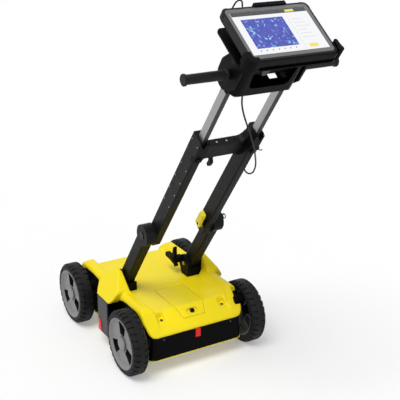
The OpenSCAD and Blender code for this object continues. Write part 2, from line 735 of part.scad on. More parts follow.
// Cam lever on the inner end of the right elbow pin, folded flat along the sleeve
lever_x = frame_in / 2 - 10;
lever_w = 27;
washer_t = 3;
cam_r = 10 - washer_t - 2 * clear;
eye_w = 10;
eye_pin_r = 3;
module elbow_pins() {
    color("silver") on_arm() {
        both() translate([0, 0, lower_l]) {
            rod_x(elbow_pin_r, frame_in / 2, arm_out + 1);
            rod_x(elbow_pin_r + 3, arm_out, arm_out + 2);
            for (a = [70, 235]) rotate([a, 0, 0]) translate([0, elbow_d / 2 - 11, 0]) rod_x(2.4, arm_out, arm_out + 1.2);
        }
        translate([lever_x, 0, lower_l]) {
            rod_x(eye_w / 2, 0, 12);
            rod_x(19, 10 - washer_t - clear, 10 - clear);
            rotate([90, 0, 0]) cylinder(r = eye_w / 2 + 1, h = eye_w, center = true);
            rotate([90, 0, 0]) cylinder(r = eye_pin_r, h = lever_w, center = true);
        }
    }
}
module elbow_lever() {
    gap = eye_w + 2 * clear;
    color(yellow) on_arm() translate([lever_x, 0, lower_l]) difference() {
        union() {
            rotate([90, 0, 0]) cylinder(r = cam_r, h = lever_w, center = true);
            along_x(-cam_r - 2, 0) polygon(rounded([[-lever_w / 2, -4], [lever_w / 2, -4], [lever_w / 2 - 1, 62],
                [-lever_w / 2 + 1, 62]], [2, 2, 5, 5]));
            along_x(-cam_r - 5, -cam_r) polygon(rounded([[-lever_w / 2 + 2, 30], [lever_w / 2 - 2, 30], [lever_w / 2 - 3, 60],
                [-lever_w / 2 + 3, 60]], [3, 3, 4, 4]));
        }
        rotate([90, 0, 0]) cylinder(r = eye_pin_r + run, h = 2 * lever_w, center = true);
        translate([-20, -gap / 2, -20]) cube([40, gap, 28]);
    }
}

// Wire ring of the index plunger on the outer face of the right elbow
module elbow_ring() {
    color("silver") on_arm() translate(ring_at) {
        rod_x(ring_stem, -12, 14);
        translate([13, -7, 0]) rotate([90, 0, 90]) rotate_extrude() translate([8, 0]) circle(1.6, $fn = 24);
    }
}

// Sleeves: box tubes with a squared foot beside the elbow and a vee at the top of the rear wall
module rear_vee(from, to) {
    translate([0, 0, sleeve_top]) along_y(from, to) polygon([[sleeve_x - 8, 1], [sleeve_x + 1, -notch_d], [sleeve_x + 15, 1]]);
}
module sleeve() {
    n = [sleeve_n - sleeve_t / 2, sleeve_n + sleeve_t / 2];
    difference() {
        intersection() {
            translate([sleeve_x, sleeve_n, elbow_low]) linear_extrude(sleeve_top - elbow_low)
                round_box(sleeve_w - clear, sleeve_t, 4);
            along_x(frame_in / 2, arm_in) polygon(rounded([[n[0], elbow_low], [n[1], elbow_low], [n[1], sleeve_top],
                [n[0], sleeve_top]], [10, 20, 2, 2]));
        }
        translate([tube_x, tube_n, lower_l + elbow_d / 2 + 10]) linear_extrude(sleeve_l)
            square([tube_w + 2 * clear, tube_t + 2 * clear], center = true);
        translate([0, 0, lower_l]) rod_x(elbow_pin_r + run, 0, body_w);
        rear_vee(n[0] - 1, tube_n - tube_t / 2);
    }
}
module button_hole(grow) {
    for (z = [-6, 6]) translate([0, 0, z]) rod_x(5 + grow, arm_in - clear - 6 - grow, arm_in + 1);
    translate([arm_in - clear - 6 - grow, -5 - grow, -6]) cube([7 + grow, 10 + 2 * grow, 12]);
}
button_z = sleeve_top - 75;
button_n = sleeve_n - 18;
module sleeve_left() {
    color(dark) on_arm() mirror([1, 0, 0]) difference() {
        sleeve();
        translate([0, button_n, button_z]) button_hole(clear);
    }
}
module sleeve_right() { color(dark) on_arm() sleeve(); }
module height_button() {
    color(black) on_arm() mirror([1, 0, 0]) translate([0, button_n, button_z]) difference() {
        button_hole(0);
        translate([arm_in - clear - 0.5, -10, -20]) cube([10, 20, 40]);
        translate([arm_in - clear - 12.8, -10, -20]) cube([10, 20, 40]);
    }
}

// Open ring that holds a cable
module clip(r, d) { rotate_extrude(angle = 250) translate([r, 0]) circle(d / 2, $fn = 24); }

// Cross brace: a box channel whose ends flare up and down into the sleeves, with a cable hook below
module cross_brace() {
    w = frame_in / 2;
    low = brace_top - brace_h;
    color(dark) on_arm() {
        along_x(-26, -15) polygon(rounded([[brace_n[0], low + 8], [brace_n[0], low - 4], [brace_n[0] - 10, low - 14],
            [brace_n[0] - 8, low - 34], [brace_n[0] + 4, low - 35], [brace_n[0] + 3, low - 16], [brace_n[0] + 14, low - 2],
            [brace_n[0] + 14, low + 8]], [1, 6, 4, 4, 4, 6, 4, 1]));
        difference() {
            along_y(brace_n[0], brace_n[1]) polygon([[-w, low - 12], [-w + 26, low], [w - 26, low], [w, low - 12],
                [w, brace_top + 24], [w - 4, brace_top + 12], [w - 13, brace_top + 3], [w - 24, brace_top],
                [24 - w, brace_top], [13 - w, brace_top + 3], [4 - w, brace_top + 12], [-w, brace_top + 24]]);
            translate([-w + 16, brace_n[0] + 4, low + 9])
                cube([2 * w - 32, brace_n[1] - brace_n[0] - 8, brace_h - 15]);
            for (x = [-1, 1]) translate([x * brace_hole_x, (brace_n[0] + brace_n[1]) / 2, brace_top - 10])
                cylinder(r = brace_hole_r, h = 20);
        }
    }
}

// Gussets that wrap the rear and inner faces of the sleeves, each with a round boss; the right one carries a cable clip
module sleeve_collars() {
    rear = sleeve_n - sleeve_t / 2;
    in = frame_in / 2 - collar_t;
    low = sleeve_top - collar_h;
    color(black) on_arm() {
        both() difference() {
            union() {
                along_y(rear - collar_t, rear) polygon([[in, low + 16], [in + 10, low], [arm_in - 10, low], [arm_in - clear, low + 12],
                    [arm_in - clear, sleeve_top - 2], [in, sleeve_top - 2]]);
                translate([in, rear - collar_t, low + 16])
                    cube([collar_t, brace_n[0] - rear + collar_t, collar_h - 18]);
                translate([sleeve_x, rear - collar_t + 1, low + 13]) rotate([90, 0, 0]) cylinder(r = 10, h = 5);
            }
            rear_vee(rear - collar_t - 1, rear + 1);
        }
        translate([arm_in - clear - 3, rear - collar_t, sleeve_top - 72]) cube([9, collar_t, 8]);
        translate([arm_in + 11, rear - collar_t / 2, sleeve_top - 68]) rotate([0, 0, 75]) clip(6, 3);
    }
}

module sleeve_rivets() {
    rows = concat([for (i = [0:3]) lower_l + 180 + 62 * i], [sleeve_top - 22]);
    color("white") on_arm() {
        both() for (z = rows) for (n = [-18, 18]) translate([0, sleeve_n + n, z])
            rod_x(2.2, arm_in - clear, arm_in - clear + 1.2);
        for (x = [-0.21, 0.21]) translate([x * frame_in / 2, (brace_n[0] + brace_n[1]) / 2, brace_top]) cylinder(r = 3.2, h = 1.6);
    }
}

module cable_gland() {
    r = lead_d / 2 + 2.5;
    color(black) on_arm() {
        translate(gland_at) cylinder(r = r, h = gland_l);
        translate([arm_in - clear, gland_at[1] - r, gland_at[2]])
            cube([gland_at[0] - arm_in + clear, 2 * r, gland_l]);
    }
}

// Telescopic tubes
module tube() {
    translate([tube_x, tube_n, tube_bottom]) linear_extrude(tube_top - tube_bottom) difference() {
        round_box(tube_w, tube_t, 2);
        round_box(tube_w - 5, tube_t - 5, 1);
    }
}
module tube_left() { color("silver") on_arm() mirror([1, 0, 0]) tube(); }
module tube_right() { color("silver") on_arm() tube(); }

module side_plates() {
    color(black) on_arm() both() difference() {
        union() {
            along_x(plate_x, plate_x + plate_t) polygon(rounded([[-30, bar_z - 44], [-4, socket_low], [20, socket_low],
                [42, bar_z - 28], [44, bar_z + 12], [18, chin_top], [-34, chin_top], [-46, chin_top - 16], [-44, bar_z - 20]],
                [10, 8, 12, 18, 20, 12, 10, 10, 14]));
            translate([tube_x, tube_n, socket_low]) linear_extrude(socket_top - socket_low)
                round_box(tube_w + boss_t, tube_t + boss_t, 4);
        }
        translate([tube_x, tube_n, socket_low - 1]) linear_extrude(tube_top - socket_low + 1)
            square([tube_w, tube_t], center = true);
        translate([0, tube_n, bar_z]) rod_x(bar_d / 2, 0, body_w);
        translate([0, 0, tilt_z]) rod_x(tilt_r, 0, body_w);
    }
}

module handlebar() {
    color(black) on_arm() {
        translate([0, tube_n, bar_z]) rod_x(bar_d / 2, -grip_span / 2 + 4, grip_span / 2 - 4);
        translate([0, 0, tilt_z]) rod_x(tilt_r, -plate_x - plate_t, plate_x + plate_t);
    }
}

module grips() {
    inner = plate_x + plate_t + 6;
    outer = grip_span / 2;
    color(dark) on_arm() both() translate([0, tube_n, bar_z]) spun() polygon([[inner, bar_d / 2],
        [inner, grip_d / 2 + 1.5], [inner + 4, grip_d / 2 + 1.5], [inner + 7, grip_d / 2], [outer - 10, grip_d / 2 - 0.5],
        [outer - 6, grip_d / 2 + 2.5], [outer - 1, grip_d / 2 + 2.5], [outer, grip_d / 2 + 1], [outer, 0],
        [outer - 4, 0], [outer - 4, bar_d / 2]]);
}

// Bowl under the tablet that houses the tilt joint, with a hand window towards the user
module chin() {
    depth = chin_n[1] - chin_n[0];
    mid = (chin_n[0] + chin_n[1]) / 2;
    color(black) on_arm() {
        difference() {
            translate([0, mid, chin_low]) linear_extrude(chin_top - chin_low) round_box(2 * plate_x, depth, 26);
            translate([0, mid, chin_low + chin_wall]) linear_extrude(chin_top)
                round_box(2 * (plate_x - chin_wall), depth - 2 * chin_wall, 26 - chin_wall);
            along_x(-2 * plate_x, 2 * plate_x) polygon([[chin_n[0] + 14, chin_top + 1], [chin_n[1] + 1, tilt_z + 4],
                [chin_n[1] + 1, chin_top + 1]]);
            along_x(-2 * plate_x, 2 * plate_x) polygon([[chin_n[0] - 1, chin_low - 1],
                [chin_n[0] + chin_wall + 1, chin_low - 1], [chin_n[0] - 1, chin_low + chin_wall + 1]]);
            along_y(chin_n[0] - 1, chin_n[0] + 10) polygon(rounded([[40 - plate_x, bar_z - 20], [plate_x - 36, bar_z - 20],
                [plate_x - 28, tilt_z + 6], [32 - plate_x, tilt_z + 6]], [16, 16, 10, 10]));
            both() translate([tube_x, tube_n, chin_low - 1]) linear_extrude(tube_top - chin_low + 1 + clear)
                square([tube_w + boss_t + 2 * clear, tube_t + boss_t + 2 * clear], center = true);
            translate([0, tube_n, bar_z]) rod_x(bar_d / 2, -body_w, body_w);
            translate([0, 0, tilt_z]) rod_x(tilt_r, -body_w, body_w);
            translate([plate_x - 56, 0, chin_low - 1]) cube([30, 20, chin_wall + 2]);
        }
        translate(grommet_at) cylinder(r = lead_d / 2 + 3, h = 8);
    }
}

tilt_knob_x = -20;
tilt_knob_z = tilt_z - 18;
tilt_knob_r = 13;
lug_n = 16;
module tilt_yoke() {
    color(black) on_arm() difference() {
        union() {
            translate([0, 0, tilt_z]) rod_x(tilt_r + 6, -yoke_w / 2, yoke_w / 2);
            translate([-yoke_w / 2, -15, tilt_z]) cube([yoke_w, 30, console_z - console_t - tilt_z]);
            translate([tilt_knob_x - 10, -lug_n, tilt_z - 27]) cube([20, lug_n + 10, 27]);
        }
        translate([0, 0, tilt_z]) rod_x(tilt_r + run, -yoke_w, yoke_w);
        translate([tilt_knob_x, 0, tilt_knob_z]) rotate([90, 0, 0]) cylinder(r = 4 + run, h = 40);
    }
}
module tilt_knob() {
    color(dark) on_arm() translate([tilt_knob_x, -lug_n - clear, tilt_knob_z]) rotate([90, 0, 0]) {
        translate([0, 0, -8]) cylinder(r = 4, h = 10);
        difference() {
            cylinder(r = tilt_knob_r, h = 22);
            for (a = [0:45:315]) rotate([0, 0, a]) translate([tilt_knob_r + 3, 0, -1]) cylinder(r = 5, h = 30);
        }
    }
}

module console_plate() {
    color(black) on_arm() translate([0, tablet_n + 6, console_z - console_t]) {
        linear_extrude(console_t) round_box(tablet_w - 6, tablet_h - 33, 14);
        translate([0, 0, console_t]) linear_extrude(plate_back - console_t - tablet_t - cradle_t + console_t)
            round_box(150, 96, 10);
        translate([tail_x, tablet_h / 2 - 18, console_t / 2]) rotate([-90, 0, 0]) cylinder(r = tail_d / 2 + 2, h = 5.5);
    }
}

// Tray that holds the tablet by its lower edge, with a corner holder on the left and a lobed hook on the right
hook_h = 8;
module tray_outline(grow, r) {
    translate([0, tablet_n]) round_box(tablet_w + 2 * grow, tablet_h + 2 * grow, r);
}
module tray_rim() {
    half = tablet_w / 2 + cradle_gap + lip;
    intersection() {
        tray_outline(cradle_gap + lip, 17 + cradle_gap + lip);
        union() {
            translate([-half, cradle_low - lip]) square([half, 40]);
            translate([-1, cradle_low - lip]) square([half + 1, 28]);
        }
    }
}
module cradle() {
    back = tablet_z - tablet_t;
    half = tablet_w / 2 + cradle_gap;
    low = cradle_low;
    color(black) on_arm() {
        translate([0, tablet_n, back - cradle_t]) linear_extrude(cradle_t) round_box(tablet_w - 8, tablet_h - 8, 12);
        for (x = clamp_arms) translate([clamp_x + x, tablet_n + tablet_h / 2 - 30, back - cradle_t - 9])
            for (side = [-5 - clear, clamp_arm_w + clear]) translate([side, 0, 0]) cube([5, 20, 9]);
        difference() {
            union() {
                translate([0, 0, back - 22]) linear_extrude(tablet_t + 22.6) tray_rim();
                translate([0, 0, tablet_z + 0.6]) linear_extrude(holder_h - 0.6) intersection() {
                    tray_rim();
                    translate([-half - lip, low - lip]) square([32, 38]);
                }
                translate([0, 0, back - 10]) linear_extrude(tablet_t + 10 + hook_h) {
                    translate([half + 5, low + 7]) circle(9);
                    translate([half + 4, low + 33]) circle(6.5);
                    polygon([[half - 1, low + 9], [half + 13, low + 9], [half + 9, low + 33], [half - 1, low + 33]]);
                }
            }
            translate([0, 0, back]) linear_extrude(tablet_t + 0.6) tray_outline(cradle_gap, 17 + cradle_gap);
            translate([0, 0, back]) linear_extrude(2 * tablet_t) tray_outline(-9, 8);
            along_x(-2 * half, 2 * half) polygon([[low - lip - 1, back - 23], [low + 22, back - 23], [low - lip - 1, back - 12]]);
            translate([-half + 28, low - lip - 1, back - 9]) cube([2 * half - 36, lip + 2, 13]);
            translate([0, 0, back - 30]) linear_extrude(22.1) translate([0, low + 34]) square([3 * half, 12], center = true);
        }
    }
}

clamp_x = 16;
clamp_w = 100;
clamp_arms = [-30, 20];
clamp_arm_w = 10;
clamp_low = -tablet_t - cradle_t - clear;
module tablet_clamp() {
    top = tablet_n + tablet_h / 2;
    color(black) on_arm() translate([clamp_x, top + clear, tablet_z]) {
        translate([-clamp_w / 2, 0, clamp_low - 6]) cube([clamp_w, 7, 12 - clamp_low]);
        translate([-clamp_w / 2, -5, clear]) cube([clamp_w, 6, 6 - clear]);
        for (x = clamp_arms) translate([x, -34, clamp_low - 6]) cube([clamp_arm_w, 36, 6]);
    }
}

// Tablet
module tablet() {
    color(grey) on_arm() translate([0, tablet_n, tablet_z - tablet_t]) difference() {
        union() {
            linear_extrude(tablet_t) round_box(tablet_w, tablet_h, 14);
            for (x = [-1, 1]) for (y = [-1, 1]) translate([x * (tablet_w / 2 - 17), y * (tablet_h / 2 - 17), 1])
                cylinder(r = 17 + bumper, h = tablet_t - 2);
        }
        translate([0, 0, tablet_t - 1.6]) linear_extrude(4) square([display_w, display_h], center = true);
        for (i = [1:button_count])
            translate([(tablet_w + display_w) / 4, (i - 2) * button_pitch, tablet_t - button_dip - button_press - clear])
                cylinder(r = button_d / 2 + clear, h = 6);
        translate([0, -(tablet_h + display_h) / 4, tablet_t - 1]) cylinder(r = 2.5, h = 2);
    }
    color(grey) on_arm() translate([tail_end[0], tail_top, tail_end[2]]) rotate([-90, 0, 0])
        cylinder(r = tail_d / 2 + 2, h = 3);
}
module tablet_screen() {
    color("midnightblue") on_arm() translate([0, tablet_n, tablet_z - 1.6]) linear_extrude(1.4)
        square([display_w, display_h], center = true);
}
module tablet_button(i) {
    color(black) on_arm() translate([(tablet_w + display_w) / 4, tablet_n + (i - 2) * button_pitch, tablet_z - button_dip])
        cylinder(r = button_d / 2, h = button_dip + 0.6);
}
module tablet_button_1() { tablet_button(1); }
module tablet_button_2() { tablet_button(2); }
module tablet_button_3() { tablet_button(3); }

module lead() {
    color(black) on_arm() sweep(lead_route, lead_d, 10);
}
module tablet_tail() { color(black) on_arm() sweep(tail_route, tail_d, 8); }

top_cover();
hatch();
hatch_latch();
hatch_pins();
lower_housing();
skid_plate();
side_panels();
markers();
cover_screws();
antenna_unit();
control_unit();
battery_pack();
stub_axles();
wheel_bearings();
axle_nuts();
axle_caps();
encoder();
encoder_roller();
tyre_front_left();
tyre_front_right();
tyre_rear_left();
tyre_rear_right();
rim_front_left();
rim_front_right();
rim_rear_left();
rim_rear_right();
foot_brackets();
pivot_pins();
foot_knob();
lower_arm_left();
lower_arm_right();
elbow_pins();
elbow_lever();
elbow_ring();
sleeve_left();
sleeve_right();
cross_brace();
sleeve_collars();
sleeve_rivets();
cable_gland();
height_button();
tube_left();
tube_right();
side_plates();
handlebar();
grips();
chin();
tilt_yoke();
tilt_knob();
console_plate();
cradle();
tablet_clamp();
tablet();
tablet_screen();
tablet_button_1();
tablet_button_2();
tablet_button_3();
lead();
tablet_tail();
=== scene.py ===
"""Looks for the ground penetrating radar cart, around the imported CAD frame. Metres, in the row frame."""
import json
import math

import bmesh
import bpy
import numpy as np
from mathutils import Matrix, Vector


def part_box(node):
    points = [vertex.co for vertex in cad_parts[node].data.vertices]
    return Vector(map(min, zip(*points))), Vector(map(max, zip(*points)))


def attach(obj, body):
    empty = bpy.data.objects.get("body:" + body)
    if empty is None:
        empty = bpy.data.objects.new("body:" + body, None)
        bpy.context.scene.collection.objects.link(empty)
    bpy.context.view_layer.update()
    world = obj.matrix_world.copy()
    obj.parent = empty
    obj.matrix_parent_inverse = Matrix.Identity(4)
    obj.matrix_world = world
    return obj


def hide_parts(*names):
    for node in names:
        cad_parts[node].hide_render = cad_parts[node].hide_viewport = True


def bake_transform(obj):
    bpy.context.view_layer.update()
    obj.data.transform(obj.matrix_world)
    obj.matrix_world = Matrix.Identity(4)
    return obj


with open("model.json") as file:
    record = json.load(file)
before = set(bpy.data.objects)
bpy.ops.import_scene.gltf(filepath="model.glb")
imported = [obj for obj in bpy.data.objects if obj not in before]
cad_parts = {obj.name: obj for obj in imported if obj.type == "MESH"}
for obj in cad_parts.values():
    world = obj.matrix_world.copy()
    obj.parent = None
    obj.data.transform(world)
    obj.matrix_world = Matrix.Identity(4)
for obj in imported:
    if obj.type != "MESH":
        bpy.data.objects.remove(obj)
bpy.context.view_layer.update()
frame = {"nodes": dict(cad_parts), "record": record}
nodes = frame["nodes"]
scene = bpy.context.scene
behaviour = frame["record"]["behaviour"]
slot_of = {s["node"]: s["material_slot"] for s in frame["record"]["subparts"]}
body_of = {n: b for b, ns in behaviour["bodies"].items() for n in ns}
joint_at = {j["name"]: j["pos_m"] for j in behaviour["joints"] if j.get("pos_m")}

# The handle's own axes: X across, N forward and up, T along the arm from the foot pivot
LEAN = math.radians(36.4)
PIVOT = Vector(joint_at["base_pivot"])
ALONG_N = Vector((0.0, math.cos(LEAN), math.sin(LEAN)))
ALONG_T = Vector((0.0, -math.sin(LEAN), math.cos(LEAN)))


def arm(x, n, t):
    """A point of the handle's axes, given in millimetres, in the row frame."""
    return PIVOT + Vector((x, 0, 0)) / 1000 + ALONG_N * (n / 1000) + ALONG_T * (t / 1000)


# The tablet's front face in the handle's axes, and half its size and half the display's. Millimetres
FACE_N = 4.0
FACE_T = 1178.6
TABLET_HALF = (135.0, 92.5)
DISPLAY_HALF = (119.0, 74.0)


# Objects
def placed(name, data):
    """A new object in the scene."""
    ob = bpy.data.objects.new(name, data)
    scene.collection.objects.link(ob)
    return ob


def made(name, bm, *materials):
    """A new mesh object from a finished bmesh."""
    mesh = bpy.data.meshes.new(name)
    bm.to_mesh(mesh)
    bm.free()
    for material in materials:
        mesh.materials.append(material)
    return placed(name, mesh)


def bridge(bm, a, b):
    """Faces between two closed rows with as many vertices."""
    count = len(a)
    for k in range(count):
        bm.faces.new((a[k], a[(k + 1) % count], b[(k + 1) % count], b[k]))


def facing(heading):
    """The turn that points a camera or a lamp along a heading."""
    return Vector(heading).to_track_quat("-Z", "Y").to_euler()


# Camera at the photograph's viewing angle; its place is measured from the wheelbase's middle
CAMERA_OFF = (-1.3293, -2.5748, 1.5753)
CAMERA_HEADING = (0.4738, 0.8096, -0.3466)
LENS_MM = 79.23
SENSOR_MM = 36.0
CLIP_END = 100.0
middle_y = (joint_at["wheel_front_left_spin"][1] + joint_at["wheel_rear_left_spin"][1]) / 2
camera_data = bpy.data.cameras.new("camera")
camera_data.lens = LENS_MM
camera_data.sensor_width = SENSOR_MM
camera_data.clip_end = CLIP_END
camera = placed("camera", camera_data)
camera.location = (CAMERA_OFF[0], CAMERA_OFF[1] + middle_y, CAMERA_OFF[2])
camera.rotation_euler = facing(CAMERA_HEADING)
scene.camera = camera


# Material building blocks
def shader(name):
    """A new material with one Principled shader; returns the material, its tree and the shader."""
    material = bpy.data.materials.new(name)
    material.use_nodes = True
    tree = material.node_tree
    bsdf = next(n for n in tree.nodes if n.type == "BSDF_PRINCIPLED")
    return material, tree, bsdf


def object_coords(tree, scale=(1, 1, 1), rotation=(0, 0, 0)):
    """Object coordinates in metres, stretched and turned."""
    source = tree.nodes.new("ShaderNodeTexCoord")
    mapping = tree.nodes.new("ShaderNodeMapping")
    mapping.inputs["Scale"].default_value = scale
    mapping.inputs["Rotation"].default_value = rotation
    tree.links.new(source.outputs["Object"], mapping.inputs["Vector"])
    return mapping.outputs["Vector"]


def noise(tree, vector, scale, detail=3.0, roughness=0.55):
    """Cloudy values round 0.5."""
    node = tree.nodes.new("ShaderNodeTexNoise")
    node.inputs["Scale"].default_value = scale
    node.inputs["Detail"].default_value = detail
    node.inputs["Roughness"].default_value = roughness
    tree.links.new(vector, node.inputs["Vector"])
    return node.outputs["Fac"]


def spread(tree, value, low, high, start=0.3, end=0.7):
    """Maps a value between start and end to low and high."""
    node = tree.nodes.new("ShaderNodeMapRange")
    node.inputs["From Min"].default_value = start
    node.inputs["From Max"].default_value = end
    node.inputs["To Min"].default_value = low
    node.inputs["To Max"].default_value = high
    tree.links.new(value, node.inputs["Value"])
    return node.outputs["Result"]


def combined(tree, operation, a, b):
    """Two values joined by the named operation."""
    node = tree.nodes.new("ShaderNodeMath")
    node.operation = operation
    tree.links.new(a, node.inputs[0])
    tree.links.new(b, node.inputs[1])
    return node.outputs[0]


def mixed(tree, factor, a, b):
    """A colour between a and b, each of them a colour or a socket."""
    node = tree.nodes.new("ShaderNodeMix")
    node.data_type = "RGBA"
    tree.links.new(factor, node.inputs["Factor"])
    for key, value in (("A", a), ("B", b)):
        socket = next(s for s in node.inputs if s.name == key and s.type == "RGBA")
        if hasattr(value, "is_linked"):
            tree.links.new(value, socket)
        else:
            socket.default_value = (*value, 1.0)
    return next(s for s in node.outputs if s.type == "RGBA")


def bump(tree, bsdf, height, strength, distance, soft=0.0):
    """Fine relief; soft is the radius over which the shading rounds off sharp edges."""
    node = tree.nodes.new("ShaderNodeBump")
    node.inputs["Strength"].default_value = strength
    node.inputs["Distance"].default_value = distance
    tree.links.new(height, node.inputs["Height"])
    tree.links.new(node.outputs["Normal"], bsdf.inputs["Normal"])
    if soft:
        rounding = tree.nodes.new("ShaderNodeBevel")
        rounding.samples = 6
        rounding.inputs["Radius"].default_value = soft
        tree.links.new(rounding.outputs["Normal"], node.inputs["Normal"])


def edge_wear_and_highlight(tree):
    """Where the surface turns sharply outwards."""
    geometry = tree.nodes.new("ShaderNodeNewGeometry")
    return spread(tree, geometry.outputs["Pointiness"], 0.0, 1.0, start=0.53, end=0.62)


def seen(tree, falling, direct):
    """A strength: direct for rays that come from the eye, mirrored or through glass too, else falling."""
    path = tree.nodes.new("ShaderNodeLightPath")
    total = path.outputs["Is Camera Ray"]
    for ray in ("Is Glossy Ray", "Is Transmission Ray"):
        total = combined(tree, "MAXIMUM", total, path.outputs[ray])
    return spread(tree, total, falling, direct, start=0.0, end=1.0)


# Heights of the fine relief in metres, brush marks per metre across and along, and the glass's roughness
SKIN = 0.0004
BRUSHED = 0.0002
STROKES = (900, 900, 14)
GLASS = 0.12


def moulded(name, colour, rough, grain=1600.0, depth=0.12, shade=0.86, wear_and_highlight=0.12, spec=0.5, soft=0.0):
    """Moulded or coated plastic: fine grain, slow colour drift, paler edges from wear and, on the rim, a
    painted highlight.

    Grain and depth are the fineness and strength of the skin, shade is the darkest share of the colour and
    the edge paling the most that edges turn pale: rubbed wear, and on the rim a painted highlight along its
    lip.
    """
    material, tree, bsdf = shader(name)
    base = object_coords(tree)
    drift = spread(tree, noise(tree, base, scale=9.0, detail=4.0), 0.0, 1.0, start=0.32, end=0.68)
    body = mixed(tree, drift, [c * shade for c in colour], colour)
    # Edges turn paler by pointiness: rubbed wear on most parts, a painted highlight along the rim's lip
    rubbed_and_highlit = spread(tree, noise(tree, base, scale=130.0, detail=4.0), 0.0, wear_and_highlight, start=0.42, end=0.66)
    worn_and_highlit = combined(tree, "MULTIPLY", edge_wear_and_highlight(tree), rubbed_and_highlit)
    paler = [min(1.0, c * 0.7 + 0.2) for c in colour]
    tree.links.new(mixed(tree, worn_and_highlit, body, paler), bsdf.inputs["Base Color"])
    sheen = spread(tree, noise(tree, base, scale=60.0, detail=5.0), rough - 0.05, rough + 0.07)
    tree.links.new(sheen, bsdf.inputs["Roughness"])
    bump(tree, bsdf, noise(tree, base, grain, detail=2.0), depth, SKIN, soft)
    bsdf.inputs["Specular IOR Level"].default_value = spec
    return material


def metal(name, colour, rough, lengthwise=False):
    """Bare metal; lengthwise gives brush marks along the handle."""
    material, tree, bsdf = shader(name)
    bsdf.inputs["Metallic"].default_value = 1.0
    if lengthwise:
        marks = noise(tree, object_coords(tree, STROKES, (-LEAN, 0, 0)), scale=1.0, roughness=0.6)
    else:
        marks = noise(tree, object_coords(tree), scale=700.0, roughness=0.6)
    tree.links.new(mixed(tree, marks, [c * 0.82 for c in colour], colour), bsdf.inputs["Base Color"])
    tree.links.new(spread(tree, marks, rough - 0.07, rough + 0.1), bsdf.inputs["Roughness"])
    bump(tree, bsdf, marks, 0.05, BRUSHED)
    return material


def rubber(name, colour, rough, dust=0.0, spec=0.2):
    """Matt rubber with a fine skin and patches of dust, which is how much paler they are."""
    material, tree, bsdf = shader(name)
    base = object_coords(tree)
    cloud = noise(tree, base, scale=26.0, detail=5.0, roughness=0.62)
    patches = spread(tree, cloud, 0.0, 1.0, start=0.45, end=0.75)
    tree.links.new(mixed(tree, patches, colour, [c + dust for c in colour]), bsdf.inputs["Base Color"])
    tree.links.new(spread(tree, cloud, rough - 0.08, rough + 0.06), bsdf.inputs["Roughness"])
    bump(tree, bsdf, noise(tree, base, scale=2200.0, detail=2.0), 0.15, SKIN)
    bsdf.inputs["Specular IOR Level"].default_value = spec
    return material


def glowing(tree, bsdf, tint, ground, strength):
    """Makes a shader part of the lit display: its own light under smooth glass."""
    tree.links.new(tint, bsdf.inputs["Emission Color"])
    bsdf.inputs["Base Color"].default_value = (*ground, 1)
    bsdf.inputs["Emission Strength"].default_value = strength
    bsdf.inputs["Roughness"].default_value = GLASS


def lit(name, colour, strength=1.0):
    """A plain part of the display."""
    material, tree, bsdf = shader(name)
    grain = noise(tree, object_coords(tree), scale=2500.0, detail=1.0)
    tint = mixed(tree, spread(tree, grain, 0.0, 1.0), [c * 0.95 for c in colour], colour)
    glowing(tree, bsdf, tint, (0.01, 0.01, 0.012), strength)
    return material


def radar_plot(name):
    """The display's plot: blue ground with broken pale lines and a few specks."""
    material, tree, bsdf = shader(name)
    vector = object_coords(tree, rotation=(-LEAN, 0, 0))
    broad = noise(tree, vector, scale=60.0, detail=4.0, roughness=0.6)
    ground = mixed(tree, spread(tree, broad, 0.0, 1.0), (0.03, 0.035, 0.34), (0.06, 0.09, 0.52))
    cells = tree.nodes.new("ShaderNodeTexVoronoi")
    cells.feature = "DISTANCE_TO_EDGE"
    cells.distance = "CHEBYCHEV"
    cells.inputs["Scale"].default_value = 55.0
    tree.links.new(vector, cells.inputs["Vector"])
    line = spread(tree, cells.outputs["Distance"], 1.0, 0.0, start=0.02, end=0.09)
    broken = spread(tree, noise(tree, vector, scale=95.0, roughness=0.6), 0.0, 1.0, start=0.52, end=0.6)
    lined = mixed(tree, combined(tree, "MULTIPLY", line, broken), ground, (0.35, 0.75, 0.95))
    dots = noise(tree, vector, scale=420.0, detail=4.0, roughness=0.7)
    speck = spread(tree, dots, 0.0, 1.0, start=0.66, end=0.74)
    glowing(tree, bsdf, mixed(tree, speck, lined, (0.12, 0.4, 0.85)), (0.01, 0.01, 0.02), 1.0)
    return material


